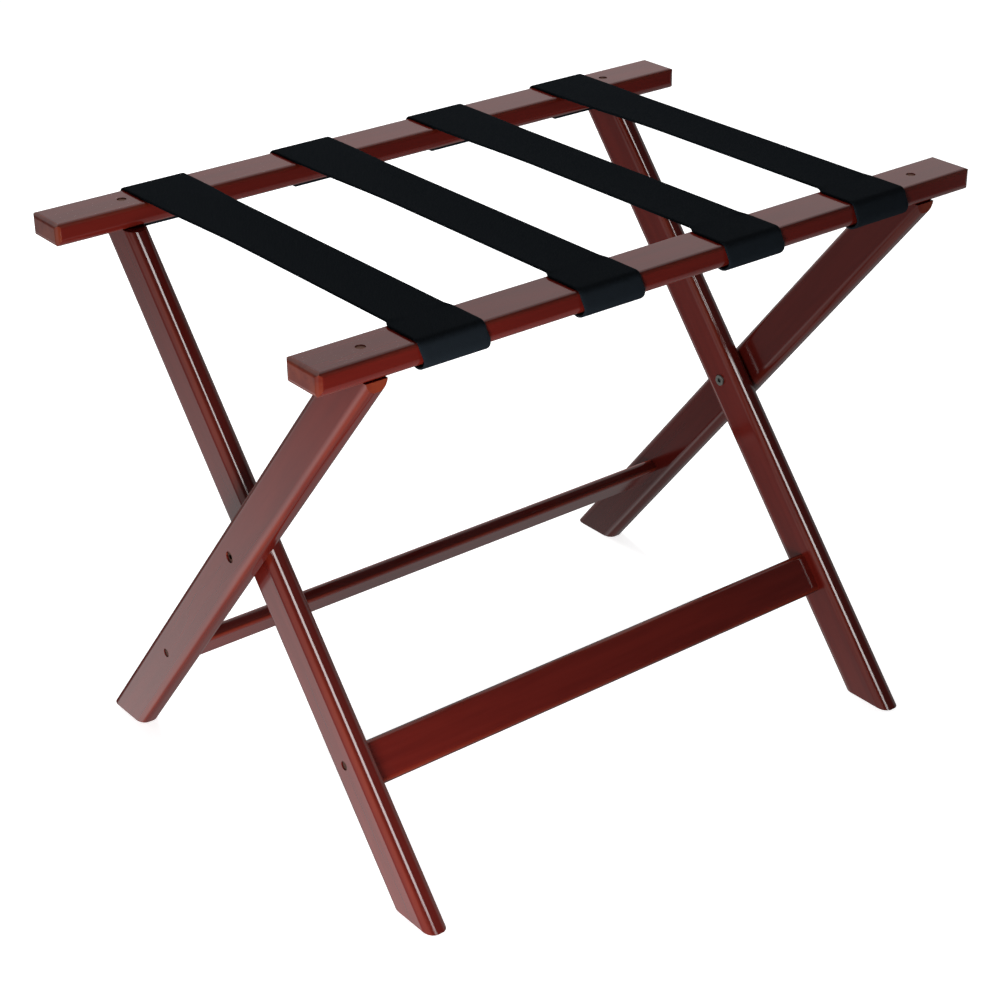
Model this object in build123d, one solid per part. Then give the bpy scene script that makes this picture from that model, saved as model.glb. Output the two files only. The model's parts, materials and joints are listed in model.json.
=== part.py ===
from build123d import *
import math
import os

# Folding luggage rack: two board frames that cross like an X, with four webbing straps.
# X runs along the rails, Y from front to back and Z up; the origin is on the floor, under the middle.
# The outer frame has the front rail and stands at the back; the inner frame has the rear rail.

# Driving dimensions, in millimetres and degrees
rail_top = 500.0
rail_length = 666.0
rail_width = 43.0
rail_height = 20.0
rail_top_round = 4.0
rail_bottom_round = 8.0
rail_end_round = 4.0
rail_corner_round = 5.0
rail_set_out = 1.0
rail_overhang = 40.5

leg_width = 42.0
leg_thickness = 20.0
leg_round = 8.0
leg_set_in = 2.5
leg_lean = 39.28
leg_gap = 1.5
pivot_height = 253.4

stretcher_width = 38.0
stretcher_thickness = 13.0
stretcher_round = 5.0
stretcher_drop = 198.5
tenon_width = 24.0
tenon_thickness = 8.0
tenon_length = 8.0

strap_count = 4
strap_width = 58.0
strap_thickness = 2.0
strap_shift = 1.5
strap_tail = 35.0

screw_head_diameter = 8.0
screw_head_height = 3.0
screw_shank_diameter = 4.4
screw_sink = 0.8
rail_screw_length = 38.0
stretcher_screw_length = 45.0
stretcher_screw_lift = 7.0

bolt_head_diameter = 10.0
bolt_head_height = 2.6
bolt_sink = 1.0
bolt_diameter = 6.0
bolt_in_nut = 12.0
hex_key = 4.0
hex_depth = 1.6
nut_flange_diameter = 10.0
nut_flange_height = 1.5
nut_barrel_diameter = 8.0
washer_diameter = 18.0
nut_bore_spare = 1.0

staple_crown = 30.0
staple_wire_width = 1.6
staple_wire_height = 0.8
staple_bite = 10.0

# Clearances
fit_gap = 0.05
running_gap = 0.05
moving_gap = 0.3
strap_gap = 0.2
strap_side_gap = 0.5

# Positions that follow from the dimensions
OUTER = -1
INNER = 1
LEFT = -1
RIGHT = 1
lean = math.radians(leg_lean)
rail_under = rail_top - rail_height
rail_centre = (rail_under - pivot_height) * math.tan(lean) + rail_set_out
rail_face = rail_centre + rail_width / 2
outer_leg_centre = rail_length / 2 - rail_overhang - leg_thickness / 2
leg_centres = {OUTER: outer_leg_centre, INNER: outer_leg_centre - leg_thickness - leg_gap}
inner_leg_face = leg_centres[INNER] - leg_thickness / 2
washer_thickness = leg_gap - moving_gap
strap_end = rail_face - strap_tail
strap_reach = inner_leg_face - strap_side_gap - strap_shift - strap_width / 2
strap_pitch = 2 * strap_reach / (strap_count - 1)
strap_centres = [strap_shift - strap_reach + number * strap_pitch for number in range(strap_count)]


def on_leg(frame, drop):
    """Y and Z of the point on a frame's leg line, this far below the pivot along the leg."""
    return -frame * drop * math.sin(lean), pivot_height - drop * math.cos(lean)


def headed_pin(head_diameter, head_height, shank_diameter, length):
    """Round head on a round shank that points down, with the top of the head at Z zero."""
    hanging = (Align.CENTER, Align.CENTER, Align.MAX)
    head = Cylinder(head_diameter / 2, head_height, align=hanging)
    return head + Cylinder(shank_diameter / 2, length, align=hanging)


def pin_hole(head_diameter, head_height, shank_diameter, length, sink):
    """Stepped hole for a headed pin whose head is sunk below the surface."""
    bore = head_diameter + 2 * fit_gap
    hole = headed_pin(bore, head_height, shank_diameter + 2 * fit_gap, length + fit_gap)
    return hole + Cylinder(bore / 2, 2 * sink)


def drilled_in(side):
    """Turn that points a tool drawn along -Z into a leg, from the outside of that side."""
    return Rot(0, side * 90, 0)


def rail_outline(grow):
    """Rail section with eased top edges and well rounded lower edges, grown by a clearance."""
    height = rail_height + 2 * grow
    outline = Rectangle(rail_width + 2 * grow, height)
    rows = outline.vertices().group_by(Axis.Y)
    outline = fillet(rows[-1], rail_top_round + grow)
    lower = outline.vertices().filter_by(lambda corner: abs(corner.Y + height / 2) < 0.001)
    return fillet(lower, rail_bottom_round + grow)


def rail_section(frame, grow):
    """The rail section at its place in the YZ plane."""
    middle = Pos(0, frame * rail_centre, rail_top - rail_height / 2)
    return middle * (Plane.YZ * rail_outline(grow))


def rail_blank(frame):
    """Rail bar with eased ends: rounded in plan and in the view from the front."""
    plan = RectangleRounded(rail_length, rail_width, rail_corner_round)
    view = RectangleRounded(rail_length, rail_height, rail_end_round)
    middle = Pos(0, frame * rail_centre, rail_top - rail_height / 2)
    bar = extrude(rail_section(frame, 0), amount=rail_length / 2, both=True)
    bar &= middle * extrude(plan, amount=rail_height, both=True)
    return bar & middle * extrude(Plane.XZ * view, amount=rail_width, both=True)


def wood_screw(length):
    """Flat-headed wood screw along -Z."""
    return headed_pin(screw_head_diameter, screw_head_height, screw_shank_diameter, length)


def screw_hole(length):
    """Hole for a wood screw, with the bore that sinks its head below the surface."""
    return pin_hole(screw_head_diameter, screw_head_height, screw_shank_diameter, length, screw_sink)


def rail_screw_places(frame):
    """Where the rail screws' head tops are: one over the middle of each leg."""
    places = []
    for side in (LEFT, RIGHT):
        places.append(Pos(side * leg_centres[frame], frame * rail_centre, rail_top - screw_sink))
    return places


def stretcher_screw_place(frame, side):
    """Where a stretcher screw's head top is: sunk in the outside of the leg."""
    y, z = on_leg(frame, stretcher_drop - stretcher_screw_lift)
    outside = leg_centres[frame] + leg_thickness / 2 - screw_sink
    return Pos(side * outside, y, z) * drilled_in(side)


def tenon(frame, side, grow):
    """Stub tenon across the end of a stretcher; grown by a clearance it cuts the leg's mortise."""
    y, z = on_leg(frame, stretcher_drop)
    joint = leg_centres[frame] - leg_thickness / 2
    block = Box(2 * (tenon_length + grow), tenon_thickness + 2 * grow, tenon_width + 2 * grow)
    return Pos(side * joint, y, z) * Rot(-frame * leg_lean, 0, 0) * block


def staple(grow):
    """Wide flat-wire staple with its crown along X; Z is zero where the crown meets the strap."""
    wire_width = staple_wire_width + 2 * grow
    wire_height = staple_wire_height + 2 * grow
    length = strap_thickness + strap_gap + staple_bite + grow
    crown = Pos(0, 0, -staple_wire_height / 2) * Box(staple_crown + 2 * grow, wire_width, wire_height)
    leg_place = (staple_crown - staple_wire_height) / 2
    for side in (LEFT, RIGHT):
        crown += Pos(side * leg_place, 0, length / 2) * Box(wire_height, wire_width, length)
    return crown


def staple_place(frame, centre):
    """Where a staple sits: under the middle of a strap's tail."""
    across = frame * (strap_end + strap_tail / 3)
    return Pos(centre, across, rail_under - strap_gap - strap_thickness - fit_gap)


def rail(frame):
    """Rail with eased ends, screw holes over the legs and staple slots underneath."""
    bar = rail_blank(frame)
    for place in rail_screw_places(frame):
        bar -= place * screw_hole(rail_screw_length)
    for centre in strap_centres:
        bar -= staple_place(frame, centre) * staple(fit_gap)
    return bar


def leg_board(frame, side):
    """Leg board along the lean: cut level under its rail and on the floor, and upright at its outer
    corner, a little inside the rail's face."""
    middle = (side * leg_centres[frame], 0, pivot_height)
    upward = (0, frame * math.sin(lean), math.cos(lean))
    across = Plane(origin=middle, x_dir=(1, 0, 0), z_dir=upward)
    section = RectangleRounded(leg_thickness, leg_width, leg_round)
    board = extrude(across * section, amount=rail_top, both=True)
    top = rail_under - fit_gap
    outside = rail_face - leg_set_in
    room = Pos(middle[0], frame * (outside - rail_length / 2), top / 2)
    return board & room * Box(2 * leg_thickness, rail_length, top)


def leg_holes(frame, side):
    """Holes that both kinds of leg have: mortise, stretcher screw and rail screw."""
    holes = [tenon(frame, side, fit_gap)]
    holes.append(stretcher_screw_place(frame, side) * screw_hole(stretcher_screw_length))
    for place in rail_screw_places(frame):
        holes.append(place * screw_hole(rail_screw_length))
    return holes


def pivot_bolt_place(side):
    """Where a pivot bolt's head top is: sunk in the outside of the outer leg."""
    outside = leg_centres[OUTER] + leg_thickness / 2 - bolt_sink
    return Pos(side * outside, 0, pivot_height) * drilled_in(side)


def outer_leg(side):
    """Outer leg, with a stepped hole that sinks the pivot bolt's head."""
    leg = leg_board(OUTER, side)
    for hole in leg_holes(OUTER, side):
        leg -= hole
    bolt_hole = pin_hole(bolt_head_diameter, bolt_head_height, bolt_diameter, 2 * leg_thickness, bolt_sink)
    return leg - pivot_bolt_place(side) * bolt_hole


def inner_leg(side):
    """Inner leg, bored to turn on the sleeve nut's barrel."""
    leg = leg_board(INNER, side)
    for hole in leg_holes(INNER, side):
        leg -= hole
    bore = Cylinder(nut_barrel_diameter / 2 + running_gap, 2 * leg_thickness)
    return leg - Pos(side * leg_centres[INNER], 0, pivot_height) * Rot(0, 90, 0) * bore


def stretcher(frame):
    """Flat board between a frame's legs, lying in the plane of the legs, with a tenon at each end."""
    y, z = on_leg(frame, stretcher_drop)
    half_length = leg_centres[frame] - leg_thickness / 2
    section = Plane.YZ * RectangleRounded(stretcher_thickness, stretcher_width, stretcher_round)
    board = extrude(section, amount=half_length, both=True)
    board = Pos(0, y, z) * Rot(-frame * leg_lean, 0, 0) * board
    for side in (LEFT, RIGHT):
        board += tenon(frame, side, 0)
        board -= stretcher_screw_place(frame, side) * screw_hole(stretcher_screw_length)
    return board


def strap(centre):
    """Webbing strap over both rails, down their outer faces and tucked under them."""
    outside = strap_gap + strap_thickness
    band_middle = Pos(0, 0, rail_top + strap_gap + strap_thickness / 2)
    profile = band_middle * (Plane.YZ * Rectangle(2 * rail_centre, strap_thickness))
    profile += rail_section(OUTER, outside) + rail_section(INNER, outside)
    profile -= rail_section(OUTER, strap_gap) + rail_section(INNER, strap_gap)
    open_height = 4 * rail_height
    open_middle = Pos(0, 0, rail_top + strap_gap - open_height / 2)
    profile -= open_middle * (Plane.YZ * Rectangle(2 * strap_end, open_height))
    band = Pos(centre, 0, 0) * extrude(profile, amount=strap_width / 2, both=True)
    for frame in (OUTER, INNER):
        band -= staple_place(frame, centre) * staple(fit_gap)
    return band


def hex_socket():
    """Key socket in the top of a bolt or nut head that lies below Z zero."""
    return extrude(RegularPolygon(hex_key / 2, 6, major_radius=False), amount=hex_depth, both=True)


def pivot_bolt(side):
    """Pivot bolt: sunk flat head outside the outer leg, shank into the sleeve nut."""
    length = leg_thickness - bolt_sink + leg_gap + bolt_in_nut
    bolt = headed_pin(bolt_head_diameter, bolt_head_height, bolt_diameter, length)
    return pivot_bolt_place(side) * (bolt - hex_socket())


def pivot_nut(side):
    """Sleeve nut: disc on the inside of the inner leg, barrel through the leg up to the washer."""
    reach = nut_flange_height + leg_thickness + 2 * moving_gap
    nut = headed_pin(nut_flange_diameter, nut_flange_height, nut_barrel_diameter, reach)
    bore_depth = bolt_in_nut + moving_gap + nut_bore_spare
    nut -= Pos(0, 0, -reach) * Cylinder(bolt_diameter / 2 + fit_gap, 2 * bore_depth)
    inside = inner_leg_face - moving_gap - nut_flange_height
    return Pos(side * inside, 0, pivot_height) * drilled_in(-side) * (nut - hex_socket())


def pivot_washer(side):
    """Spacing washer on the bolt, against the inside of the outer leg."""
    ring = Cylinder(washer_diameter / 2, washer_thickness)
    ring -= Cylinder(bolt_diameter / 2 + fit_gap, 2 * washer_thickness)
    middle = leg_centres[OUTER] - leg_thickness / 2 - washer_thickness / 2
    return Pos(side * middle, 0, pivot_height) * Rot(0, 90, 0) * ring


def frame_fixings(frame, name):
    """The screws and staples of one frame, each kind as one group."""
    screw = wood_screw(rail_screw_length)
    long_screw = wood_screw(stretcher_screw_length)
    screws = [place * screw for place in rail_screw_places(frame)]
    long_screws = [stretcher_screw_place(frame, side) * long_screw for side in (LEFT, RIGHT)]
    staples = [staple_place(frame, centre) * staple(0) for centre in strap_centres]
    return {
        "rail_screws_" + name: Compound(children=screws),
        "stretcher_screws_" + name: Compound(children=long_screws),
        "strap_staples_" + name: Compound(children=staples),
    }


pieces = {
    "front_rail": rail(OUTER),
    "rear_rail": rail(INNER),
    "outer_leg_left": outer_leg(LEFT),
    "outer_leg_right": outer_leg(RIGHT),
    "inner_leg_left": inner_leg(LEFT),
    "inner_leg_right": inner_leg(RIGHT),
    "rear_stretcher": stretcher(OUTER),
    "front_stretcher": stretcher(INNER),
}
for number, centre in enumerate(strap_centres, start=1):
    pieces["strap_" + str(number)] = strap(centre)
for name, make in (("bolts", pivot_bolt), ("nuts", pivot_nut), ("washers", pivot_washer)):
    pieces["pivot_" + name] = Compound(children=[make(LEFT), make(RIGHT)])
pieces.update(frame_fixings(OUTER, "outer"))
pieces.update(frame_fixings(INNER, "inner"))

os.makedirs("parts", exist_ok=True)
for name, shape in pieces.items():
    export_step(shape, "parts/" + name + ".step")
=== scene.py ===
import json
import math

import bpy
import numpy as np
from mathutils import Matrix, Vector


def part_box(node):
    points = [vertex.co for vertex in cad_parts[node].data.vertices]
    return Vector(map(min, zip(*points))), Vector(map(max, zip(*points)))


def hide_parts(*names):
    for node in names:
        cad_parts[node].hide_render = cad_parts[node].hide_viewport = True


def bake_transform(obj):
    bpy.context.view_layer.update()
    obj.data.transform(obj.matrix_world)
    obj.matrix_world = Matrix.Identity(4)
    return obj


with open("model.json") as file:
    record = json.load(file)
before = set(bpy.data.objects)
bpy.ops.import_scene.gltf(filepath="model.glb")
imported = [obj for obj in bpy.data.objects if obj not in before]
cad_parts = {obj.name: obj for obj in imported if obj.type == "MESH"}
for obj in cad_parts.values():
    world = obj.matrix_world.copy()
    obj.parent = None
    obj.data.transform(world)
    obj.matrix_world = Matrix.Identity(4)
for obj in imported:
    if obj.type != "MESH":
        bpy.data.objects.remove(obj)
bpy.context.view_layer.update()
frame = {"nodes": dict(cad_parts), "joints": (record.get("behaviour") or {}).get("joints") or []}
nodes = frame["nodes"]

# Legs
# Four hardwood boards with well rounded edges, stained red-brown and lacquered to a gloss.
# One leg has painted shade on its broad faces, and the legs have painted shade on their narrow sides. They
# cross in pairs on the pivots, and a rail is screwed down onto the tops of each frame's two legs.

millimetre = 0.001
leg_lean = math.radians(39.28)
leg_half_section = (10.0 * millimetre, 21.0 * millimetre)
leg_round = 8.0 * millimetre
pivot = Vector(frame["joints"][0]["pos_m"])
frame_turns = {"outer": (leg_lean, 0.0, 0.0), "inner": (-leg_lean, 0.0, 0.0)}

stain_dark = (0.140, 0.0100, 0.0064, 1)
stain_light = (0.180, 0.0140, 0.0088, 1)
stain_thin = (0.29, 0.048, 0.019, 1)
painted_shade_tone = (0.050, 0.0060, 0.0050, 1)
edge_thinning = 0.3
edge_reach = 0.7
least_wear = 0.4
cut_thinning = 0.6
# Painted shade: the legs' narrow sides, the stretchers' top and bottom edges and the broad faces of one
# leg are tinted darker.
painted_shade_reach = (0.7, 0.9)
leg_painted_side_shade = 0.45
painted_shade_leg = "outer_leg_right"
painted_shade_leg_depth = 0.6
cut_facing = 0.95
grain_per_metre = 80.0
grain_stretch = 12.0
grain_look = {"detail": 4.0, "roughness": 0.55, "distortion": 0.4}
pores_per_metre = 900.0
pore_detail = 2.0
pore_depth = 0.05 * millimetre
pore_strength = 0.04
noise_range = (0.3, 0.7)
lacquer_roughness = (0.11, 0.15)
lacquer_index = 1.7


def node_material(name):
    """An empty node material with its tree and its shader, ready for links."""
    material = bpy.data.materials.new(name)
    material.use_nodes = True
    tree = material.node_tree
    return material, tree, tree.nodes["Principled BSDF"]


def add_node(tree, kind, **settings):
    """A node of that kind with its settings and, by name, its unlinked inputs."""
    node = tree.nodes.new(kind)
    for name, value in settings.items():
        socket = node.inputs.get(name.replace("_", " ").title())
        if socket:
            socket.default_value = value
        else:
            setattr(node, name, value)
    return node


def calculate(tree, operation, first, second=0.0):
    """The output of a math node on two sockets or plain numbers."""
    node = add_node(tree, "ShaderNodeMath", operation=operation)
    for place, value in enumerate((first, second)):
        if isinstance(value, bpy.types.NodeSocket):
            tree.links.new(value, node.inputs[place])
        else:
            node.inputs[place].default_value = value
    return node.outputs[0]


def graded(tree, value, start, end, first, last):
    """A socket graded smoothly from first, where the value is start, to last, where it is end."""
    node = add_node(tree, "ShaderNodeMapRange", interpolation_type="SMOOTHSTEP",
                    from_min=start, from_max=end, to_min=first, to_max=last)
    tree.links.new(value, node.inputs["Value"])
    return node.outputs["Result"]


def mapped(tree, source, **settings):
    """Coordinates taken through a mapping node."""
    node = add_node(tree, "ShaderNodeMapping", vector_type="TEXTURE", **settings)
    tree.links.new(source, node.inputs["Vector"])
    return node.outputs["Vector"]


def noise(tree, place, **settings):
    """Noise at a place, from 0 to 1."""
    node = add_node(tree, "ShaderNodeTexNoise", **settings)
    tree.links.new(place, node.inputs["Vector"])
    return node.outputs["Fac"]


def tinted(tree, share, first, last):
    """Colour that goes from first to last with a share; first may be a socket."""
    node = add_node(tree, "ShaderNodeMix", data_type="RGBA")
    tree.links.new(share, node.inputs["Factor"])
    if isinstance(first, bpy.types.NodeSocket):
        tree.links.new(first, node.inputs[6])
    else:
        node.inputs[6].default_value = first
    node.inputs[7].default_value = last
    return node.outputs[2]


def bumped(tree, shader, height, distance, strength):
    """Relief on a shader from a height."""
    node = add_node(tree, "ShaderNodeBump", strength=strength, distance=distance)
    tree.links.new(height, node.inputs["Height"])
    tree.links.new(node.outputs["Normal"], shader.inputs["Normal"])


def stained_wood(name, centre, turn, across, half_section, edge_round, painted_side_shade=0.0, painted_face_shade=0.0,
                 least_thinning=0.0):
    """Stain on streaks of grain along the board, thin on its rounded edges, with painted shade on its
    narrow sides and, on one leg, painted shade on its broad faces as well.
    An edge is where the distances past the start of the rounding, both ways across, are above zero.
    A narrow side is where the second of those distances comes near the rounding's radius."""
    material, tree, shader = node_material(name)
    place = add_node(tree, "ShaderNodeTexCoord").outputs["Object"]
    board = mapped(tree, place, location=centre, rotation=turn)
    along = [1.0 if axis in across else grain_stretch for axis in "XYZ"]
    fibres = mapped(tree, board, location=Vector(centre) * grain_stretch, scale=along)
    streaks = noise(tree, fibres, scale=grain_per_metre, **grain_look)
    pores = noise(tree, fibres, scale=pores_per_metre, detail=pore_detail)
    parts = add_node(tree, "ShaderNodeSeparateXYZ")
    tree.links.new(board, parts.inputs["Vector"])
    past = []
    for axis, half in zip(across, half_section):
        distance = calculate(tree, "ABSOLUTE", parts.outputs[axis])
        past.append(calculate(tree, "SUBTRACT", distance, half - edge_round))
    edge = graded(tree, calculate(tree, "MINIMUM", *past), 0.0, edge_round * edge_reach,
                  least_thinning, max(least_thinning, edge_thinning))
    tone = graded(tree, streaks, *noise_range, 0.0, 1.0)
    worn = calculate(tree, "MULTIPLY", edge, calculate(tree, "ADD", tone, least_wear))
    colour = tinted(tree, worn, tinted(tree, tone, stain_dark, stain_light), stain_thin)
    # Painted shade: a darker tint over the narrow sides and, on one leg, over the broad faces.
    side_start, side_full = (edge_round * share for share in painted_shade_reach)
    painted_shade_share = graded(tree, past[1], side_start, side_full, painted_face_shade, painted_side_shade)
    colour = tinted(tree, painted_shade_share, colour, painted_shade_tone)
    tree.links.new(colour, shader.inputs["Base Color"])
    gloss = graded(tree, pores, *noise_range, *lacquer_roughness)
    tree.links.new(gloss, shader.inputs["Roughness"])
    shader.inputs["IOR"].default_value = lacquer_index
    bumped(tree, shader, pores, pore_depth, pore_strength)
    return material


for pair, turn in frame_turns.items():
    for side in ("left", "right"):
        name = pair + "_leg_" + side
        low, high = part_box(name)
        centre = ((low.x + high.x) / 2, pivot.y, pivot.z)
        board = (centre, turn, "XY", leg_half_section, leg_round)
        mesh = nodes[name].data
        # The outer right leg gets painted shade over its broad faces.
        painted_face_shade = painted_shade_leg_depth if name == painted_shade_leg else 0.0
        mesh.materials[0] = stained_wood("wood_" + name, *board, leg_painted_side_shade, painted_face_shade)
        mesh.materials.append(stained_wood("cut_wood_" + name, *board, least_thinning=cut_thinning))
        for face in mesh.polygons:
            face.material_index = int(abs(face.normal.y) > cut_facing and face.center.z > pivot.z)

# Stretchers
# Two thinner boards of the same wood and finish, lying in the plane of their frame's legs.
# A stub tenon at each end sits in the leg, and a screw through the leg holds it.

stretcher_half_section = (6.5 * millimetre, 19.0 * millimetre)
stretcher_round = 5.0 * millimetre
# Painted shade on the stretchers' top and bottom edges.
stretcher_painted_side_shade = 0.8

for name, pair in (("front_stretcher", "inner"), ("rear_stretcher", "outer")):
    low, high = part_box(name)
    centre = (low + high) / 2
    nodes[name].data.materials[0] = stained_wood(
        "wood_" + name, centre, frame_turns[pair], "YZ", stretcher_half_section, stretcher_round,
        stretcher_painted_side_shade)

# Rails
# Two bars of the same wood that carry the straps, eased on top and well rounded underneath.
# Each lies on the tops of its frame's legs and is screwed down into them.

rail_half_section = (21.5 * millimetre, 10.0 * millimetre)
rail_top_round = 4.0 * millimetre
rail_bottom_round = 8.0 * millimetre
rail_end_facing = 0.2

for name in ("front_rail", "rear_rail"):
    low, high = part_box(name)
    centre = (low + high) / 2
    board = (centre, (0.0, 0.0, 0.0), "YZ", rail_half_section, rail_top_round)
    mesh = nodes[name].data
    mesh.materials[0] = stained_wood("wood_" + name, *board)
    mesh.materials.append(stained_wood("cut_wood_" + name, *board, least_thinning=cut_thinning))
    for face in mesh.polygons:
        face.material_index = int(abs(face.normal.x) > rail_end_facing)

# Wood screws, staples and pivot fasteners
# Bronzed steel wood screws, sunk below the surface over the legs and outside the stretchers' ends,
# and zinc-plated staples under the rails. A socket-head bolt and a sleeve nut, with a nylon washer
# between the legs, make each pivot.

finishes = {
    "bronzed_steel": ((0.25, 0.115, 0.08, 1), 1.0, 0.38),
    "zinc_plate": ((0.42, 0.43, 0.4, 1), 1.0, 0.32),
    "nylon": ((0.02, 0.02, 0.02, 1), 0.0, 0.5),
}
finished = {
    "bronzed_steel": ("rail_screws_outer", "rail_screws_inner", "stretcher_screws_outer",
                      "stretcher_screws_inner", "pivot_bolts"),
    "zinc_plate": ("pivot_nuts", "strap_staples_outer", "strap_staples_inner"),
    "nylon": ("pivot_washers",),
}
scuffs_per_metre = 1200.0
scuff_detail = 4.0
scuff_tone = 0.55
scuff_roughening = 0.15


def scuffed(name, colour, metallic, roughness):
    """Metal or plastic with fine scuffs that change its tone and gloss."""
    material, tree, shader = node_material(name)
    place = add_node(tree, "ShaderNodeTexCoord").outputs["Object"]
    scuffs = noise(tree, place, scale=scuffs_per_metre, detail=scuff_detail)
    darker = tuple(channel * scuff_tone for channel in colour[:3]) + (1,)
    tone = graded(tree, scuffs, *noise_range, 0.0, 1.0)
    tree.links.new(tinted(tree, tone, darker, colour), shader.inputs["Base Color"])
    gloss = graded(tree, scuffs, *noise_range, roughness + scuff_roughening, roughness)
    tree.links.new(gloss, shader.inputs["Roughness"])
    shader.inputs["Metallic"].default_value = metallic
    return material


for finish, names in finished.items():
    material = scuffed(finish, *finishes[finish])
    for name in names:
        nodes[name].data.materials[0] = material

# Webbing straps
# Four bands of black polypropylene webbing, pulled tight over both rails.
# Each end goes down the rail's outer face and is stapled underneath.

front_low, front_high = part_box("front_rail")
rail_top = front_high.z
rail_under = front_low.z
rail_face = -front_low.y
rail_inner_edge = -front_high.y
strap_thickness = 2.2 * millimetre
strap_gap = 0.05 * millimetre
strap_lift = strap_gap + strap_thickness / 2
strap_tail = 36.0 * millimetre
strap_waist = 53.5 * millimetre
strap_end_width = 60.0 * millimetre
neck_start = 7.0 * millimetre
front_neck = 8.0 * millimetre
rear_necks = (150.0 * millimetre, 60.0 * millimetre)
corner_slack = 1.6 * millimetre
slack_power = 4
edge_curl = 1.0 * millimetre
wrap_drift = 4.0 * millimetre
arc_points = 9
tail_points = 8
span_points = 90
edge_points = 7
face_points = 19
# Where each band's middle line crosses the front rail and the rear rail, in metres along them.
strap_ends = {
    "strap_1": (-0.2181, -0.2196),
    "strap_2": (-0.0690, -0.0711),
    "strap_3": (0.0786, 0.0755),
    "strap_4": (0.2215, 0.2191),
}


def half_path():
    """The band's middle line over one rail: tail under the rail, slack lower corner arc, outer face,
    tight upper corner arc and half the free span, as distances out from the middle and heights."""
    quarter = np.linspace(0, math.pi / 2, arc_points)
    low_radius = rail_bottom_round + strap_lift + corner_slack
    low_out = rail_face - rail_bottom_round + low_radius * np.sin(quarter)
    low_up = rail_under + rail_bottom_round - low_radius * np.cos(quarter)
    top_radius = rail_top_round + strap_lift
    top_out = rail_face - rail_top_round + top_radius * np.cos(quarter)
    top_up = rail_top - rail_top_round + top_radius * np.sin(quarter)
    tail_out = np.linspace(rail_face - strap_tail, low_out[0], tail_points, endpoint=False)
    tail_share = np.linspace(0, 1, tail_points, endpoint=False)
    tail_up = rail_under - strap_lift - corner_slack * tail_share ** slack_power
    span_out = np.linspace(top_out[-1], 0, span_points)[1:]
    out = np.concatenate([tail_out, low_out, top_out, span_out])
    up = np.concatenate([tail_up, low_up, top_up, np.full_like(span_out, top_up[-1])])
    return out, up


def smooth(share):
    """Share from 0 to 1 with level ends."""
    share = np.clip(share, 0, 1)
    return share * share * (3 - 2 * share)


def free_span(y, rear_neck):
    """Share from 0 over the rails to 1 in the free span: smooth over the front neck times smooth over
    the rear neck, which both start a little inside the rails."""
    reach = rail_inner_edge + neck_start
    return smooth((reach + y) / front_neck) * smooth((reach - y) / rear_neck)


def strap_mesh(name, near, far):
    """A band of stadium section carried along the path over both rails: narrower in the free span,
    where its edges curl up by the square of the distance from its middle line, and drifting sideways
    as it goes down the front rail."""
    out, up = half_path()
    y = np.concatenate([-out, out[-2::-1]])
    z = np.concatenate([up, up[-2::-1]])
    length = np.concatenate([[0], np.cumsum(np.hypot(np.diff(y), np.diff(z)))])
    tangent_y = np.gradient(y, length)
    tangent_z = np.gradient(z, length)
    size = np.hypot(tangent_y, tangent_z)
    normal_y, normal_z = -tangent_z / size, tangent_y / size
    free_left, free_right = (free_span(y, neck)[:, None] for neck in rear_necks)
    centre = near + (far - near) * np.clip((y + rail_face) / (2 * rail_face), 0, 1)
    centre = centre + wrap_drift * smooth((rail_top - z) / (rail_top - rail_under)) * (y < 0)
    edge = strap_thickness / 2
    turn = np.linspace(-math.pi / 2, math.pi / 2, edge_points)
    across = np.linspace(-1, 1, face_points + 2)[1:-1]
    side = np.ones(edge_points)
    level = np.ones(face_points)
    flat = np.concatenate([side, across[::-1], -side, across])
    bulge = np.concatenate([np.cos(turn), 0 * level, -np.cos(turn), 0 * level])
    high = np.concatenate([np.sin(turn), level, -np.sin(turn), -level])
    free = np.where(flat < 0, free_left, free_right)
    half_width = (strap_end_width + (strap_waist - strap_end_width) * free) / 2
    x = centre[:, None] + (half_width - edge) * flat + edge * bulge
    rise = edge * high + edge_curl * free * flat ** 2
    raised_y = y[:, None] + normal_y[:, None] * rise
    raised_z = z[:, None] + normal_z[:, None] * rise
    points = np.stack([x, raised_y, raised_z], axis=2)
    rows, ring = x.shape
    index = np.arange(rows * ring).reshape(rows, ring)
    after = np.roll(index, -1, axis=1)
    quads = np.stack([index[:-1], index[1:], after[1:], after[:-1]], axis=2).reshape(-1, 4)
    faces = [*quads.tolist(), index[0].tolist(), index[-1][::-1].tolist()]
    mesh = bpy.data.meshes.new(name)
    mesh.from_pydata(points.reshape(-1, 3), [], faces)
    layer = mesh.uv_layers.new(name="weave")
    corner = np.zeros(len(mesh.loops), np.int32)
    mesh.loops.foreach_get("vertex_index", corner)
    u = (x - centre[:, None]).ravel()
    v = np.repeat(length - length[-1] / 2, ring)
    unrolled = np.stack([u[corner], v[corner]], axis=1).astype(np.float32)
    layer.data.foreach_set("uv", unrolled.ravel())
    mesh.polygons.foreach_set("use_smooth", np.ones(len(mesh.polygons), bool))
    mesh.validate()
    return mesh, length[-1], points.reshape(-1, 3)


yarn_width = 1.4 * millimetre
pick_length = 2.2 * millimetre
yarn_depth = 0.25 * millimetre
weave_strength = 0.5
weave_range = (-0.8, 1.6)
fuzz_per_metre = 700.0
fuzz_detail = 3.0
webbing_dark = (0.0033, 0.0050, 0.0068, 1)
# The pale colour serves both the raised yarns and the painted light on the wraps down the rails' faces.
webbing_pale_and_painted_light = (0.018, 0.024, 0.031, 1)
yarn_paling = 0.25
painted_wrap_light = 0.6
webbing_roughness = 0.85
webbing_gloss = 0.03


def wave(tree, distance, period):
    """A sine wave of that period along a distance."""
    return calculate(tree, "SINE", calculate(tree, "MULTIPLY", distance, 2 * math.pi / period))


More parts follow.
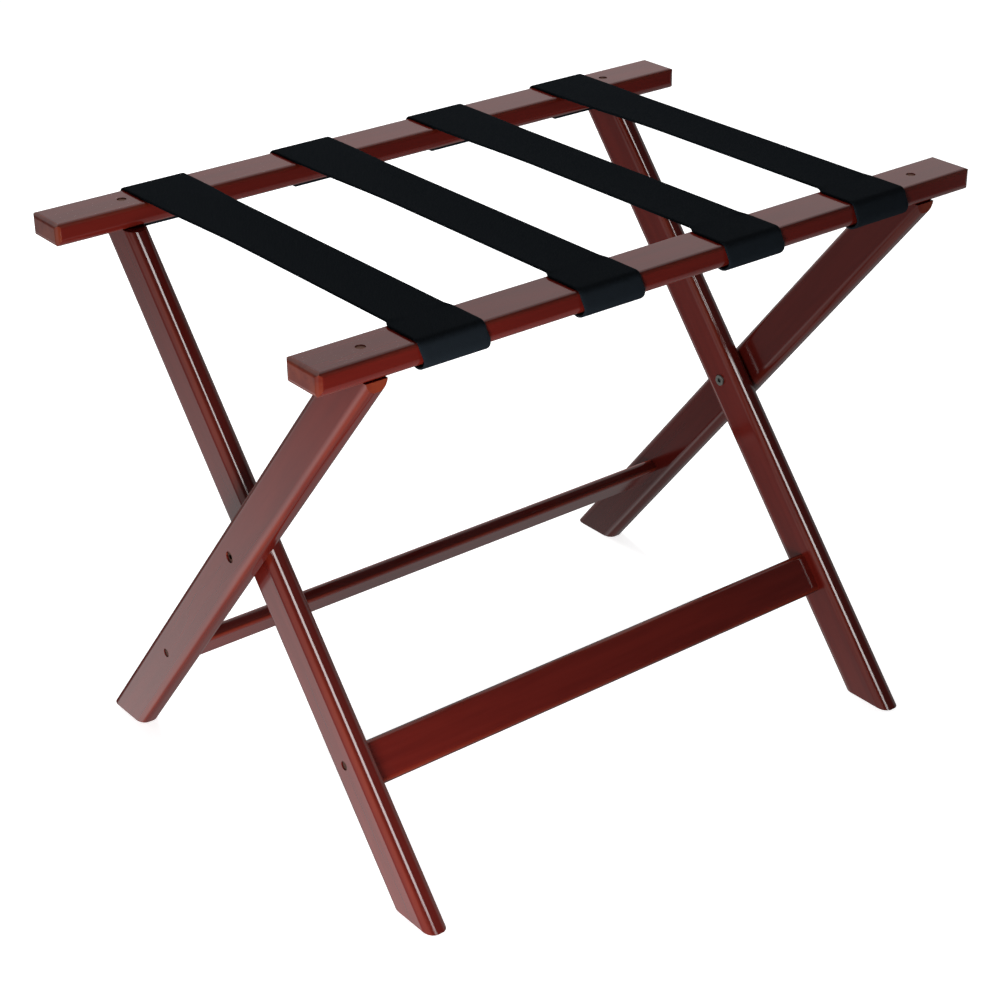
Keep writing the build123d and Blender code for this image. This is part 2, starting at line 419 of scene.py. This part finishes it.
def black_webbing():
    """Plain weave: ribs of yarn along the band, over and under the picks that cross it. Down the rails'
    faces, past the upper corner as measured from the band's middle, it is painted paler: painted light on
    the wraps."""
    material, tree, shader = node_material("webbing")
    place = add_node(tree, "ShaderNodeUVMap", uv_map="weave").outputs["UV"]
    parts = add_node(tree, "ShaderNodeSeparateXYZ")
    tree.links.new(place, parts.inputs["Vector"])
    ribs = wave(tree, parts.outputs["X"], yarn_width)
    picks = wave(tree, parts.outputs["Y"], pick_length)
    weave = calculate(tree, "MULTIPLY", ribs, picks)
    fuzz = noise(tree, place, scale=fuzz_per_metre, detail=fuzz_detail)
    height = calculate(tree, "ADD", weave, fuzz)
    # Painted light: the band is tinted paler down the rails' faces.
    from_middle = calculate(tree, "ABSOLUTE", parts.outputs["Y"])
    face = graded(tree, from_middle, rail_face - rail_top_round, rail_face + rail_top_round,
                  0.0, painted_wrap_light)
    yarns = graded(tree, height, *weave_range, 0.0, yarn_paling)
    tone = calculate(tree, "ADD", yarns, face)
    colour = tinted(tree, tone, webbing_dark, webbing_pale_and_painted_light)
    tree.links.new(colour, shader.inputs["Base Color"])
    shader.inputs["Roughness"].default_value = webbing_roughness
    shader.inputs["Specular IOR Level"].default_value = webbing_gloss
    bumped(tree, shader, height, yarn_depth, weave_strength)
    return material


webbing = black_webbing()
for node, (near, far) in strap_ends.items():
    name = "webbing_" + node
    mesh, cut_length, points = strap_mesh(name, near, far)
    mesh.materials.append(webbing)
    band = bpy.data.objects.new(name, mesh)
    bpy.context.scene.collection.objects.link(band)
    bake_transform(band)
    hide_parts(node)

# Studio floor, light and camera
# A white paper floor and, in the gloss, a pale screen behind the rack, a bright floor to its left,
# dim sides and a dark front. Soft lamps stand low at the left and behind, and a strip in front.

floor_half = 15.0
floor_bright = 0.95
floor_near = 0.2
floor_far = 0.1
floor_glow = 0.8
floor_white = (0.8, 0.8, 0.8, 1)
left_floor_x = (-1.10, -0.33)
floor_shade_x = (-0.27, -0.12)
near_floor_radius = (0.5, 1.0)
back_axis = (0.25, 0.75, 0.6)
back_range = (0.45, 0.8)
back_light = (0.04, 0.54)
left_tilt = 1.2
left_slope = (-0.13, 0.28)
left_light = (0.12, 0.97)
left_end = (-0.35, -0.1)
left_depth = (0.1, 0.4)
under_range = (-0.65, -0.48)
under_light = 0.22
side_range = (0.65, 0.92)
side_light = 0.36
white_light = (1, 1, 1, 1)


def scene_object(name, data):
    """An object with that data, linked into the scene."""
    made = bpy.data.objects.new(name, data)
    bpy.context.scene.collection.objects.link(made)
    return made


def mixed(tree, share, first, second):
    """Two shaders mixed by a share."""
    node = add_node(tree, "ShaderNodeMixShader")
    for place, socket in enumerate((share, first, second)):
        tree.links.new(socket, node.inputs[place])
    return node.outputs[0]


corners = [(-floor_half, -floor_half, 0), (floor_half, -floor_half, 0),
           (floor_half, floor_half, 0), (-floor_half, floor_half, 0)]
floor_mesh = bpy.data.meshes.new("floor")
floor_mesh.from_pydata(corners, [], [(0, 1, 2, 3)])
floor = scene_object("floor", floor_mesh)
floor.visible_glossy = False
paper, tree, shader = node_material("paper")
tree.nodes.remove(shader)
parts = add_node(tree, "ShaderNodeSeparateXYZ")
place = add_node(tree, "ShaderNodeTexCoord")
tree.links.new(place.outputs["Object"], parts.inputs["Vector"])
path = add_node(tree, "ShaderNodeLightPath")
left = graded(tree, parts.outputs["X"], *left_floor_x, floor_far, floor_bright)
shade = graded(tree, parts.outputs["X"], *floor_shade_x, 1.0, 0.0)
away = add_node(tree, "ShaderNodeVectorMath", operation="LENGTH")
tree.links.new(place.outputs["Object"], away.inputs[0])
near = graded(tree, away.outputs["Value"], *near_floor_radius, floor_near, floor_far)
lit = calculate(tree, "MAXIMUM", calculate(tree, "MULTIPLY", left, shade), near)
bounce = add_node(tree, "ShaderNodeEmission")
tree.links.new(lit, bounce.inputs["Strength"])
white = add_node(tree, "ShaderNodeEmission", strength=floor_glow)
shadowed = add_node(tree, "ShaderNodeBsdfDiffuse", color=floor_white)
seen = add_node(tree, "ShaderNodeAddShader")
tree.links.new(white.outputs[0], seen.inputs[0])
tree.links.new(shadowed.outputs[0], seen.inputs[1])
surface = mixed(tree, path.outputs["Is Camera Ray"], bounce.outputs[0], seen.outputs[0])
clear = add_node(tree, "ShaderNodeBsdfTransparent")
underside = add_node(tree, "ShaderNodeNewGeometry").outputs["Backfacing"]
surface = mixed(tree, underside, surface, clear.outputs[0])
tree.links.new(surface, tree.nodes["Material Output"].inputs["Surface"])
floor_mesh.materials.append(paper)

world = bpy.data.worlds.new("studio")
bpy.context.scene.world = world
world.use_nodes = True
tree = world.node_tree
tree.nodes.clear()
path = add_node(tree, "ShaderNodeLightPath")
direction = add_node(tree, "ShaderNodeTexCoord").outputs["Generated"]
parts = add_node(tree, "ShaderNodeSeparateXYZ")
tree.links.new(direction, parts.inputs["Vector"])
across, depth, height = parts.outputs
behind = add_node(tree, "ShaderNodeVectorMath", operation="DOT_PRODUCT")
tree.links.new(direction, behind.inputs[0])
behind.inputs[1].default_value = back_axis
back = graded(tree, behind.outputs["Value"], *back_range, *back_light)
slope = calculate(tree, "SUBTRACT", across, calculate(tree, "MULTIPLY", height, left_tilt))
left = graded(tree, slope, *left_slope, *left_light)
left = calculate(tree, "MULTIPLY", left, graded(tree, across, *left_end, 1.0, 0.0))
left = calculate(tree, "MULTIPLY", left, graded(tree, depth, *left_depth, 0.0, 1.0))
under = graded(tree, height, *under_range, under_light, 0.0)
sides = graded(tree, calculate(tree, "ABSOLUTE", across), *side_range, 0.0, side_light)
low = calculate(tree, "MAXIMUM", left, under)
lit = calculate(tree, "MAXIMUM", calculate(tree, "MAXIMUM", back, sides), low)
screen = add_node(tree, "ShaderNodeBackground", color=white_light)
tree.links.new(lit, screen.inputs["Strength"])
white = add_node(tree, "ShaderNodeBackground", color=white_light, strength=1.0)
sky = mixed(tree, path.outputs["Is Camera Ray"], screen.outputs[0], white.outputs[0])
tree.links.new(sky, add_node(tree, "ShaderNodeOutputWorld").inputs["Surface"])


def softbox(name, place, target, width, height, power):
    """A flat lamp at a place, aimed at a target."""
    lamp = bpy.data.lights.new(name, "AREA")
    lamp.shape = "RECTANGLE"
    lamp.size = width
    lamp.size_y = height
    lamp.energy = power
    holder = scene_object(name, lamp)
    holder.location = place
    holder.rotation_euler = (Vector(target) - Vector(place)).to_track_quat("-Z", "Y").to_euler()
    holder.visible_camera = False
    return holder


fill = softbox("fill", place=(-0.7, -0.75, 0.12), target=(-0.4, 1.0, 0.25),
               width=0.4, height=0.4, power=8.4)
fill.visible_glossy = False
rim = softbox("back", place=(0.5, 1.7, 1.6), target=(0, 0, 0.4), width=1.0, height=1.0, power=26.0)
rim.visible_glossy = False
strip = softbox("strip", place=(-0.1, -1.85, 2.05), target=(0, 0, 0.25), width=1.1, height=1.5, power=36.0)
strip.visible_diffuse = False

camera_place = (-1.109615, -1.405152, 1.145707)
camera_heading = math.radians(-37.952)
camera_pitch = math.radians(90 - 27.614)
camera_roll = math.radians(-0.597)
camera_data = bpy.data.cameras.new("camera")
camera_data.lens = 81.755
camera_data.sensor_width = 36.0
camera = scene_object("camera", camera_data)
turn_round = Matrix.Rotation(camera_heading, 4, "Z")
turn_down = Matrix.Rotation(camera_pitch, 4, "X")
roll = Matrix.Rotation(camera_roll, 4, "Z")
camera.matrix_world = Matrix.Translation(camera_place) @ turn_round @ turn_down @ roll
bpy.context.scene.camera = camera
bpy.context.scene.view_settings.view_transform = "Standard"
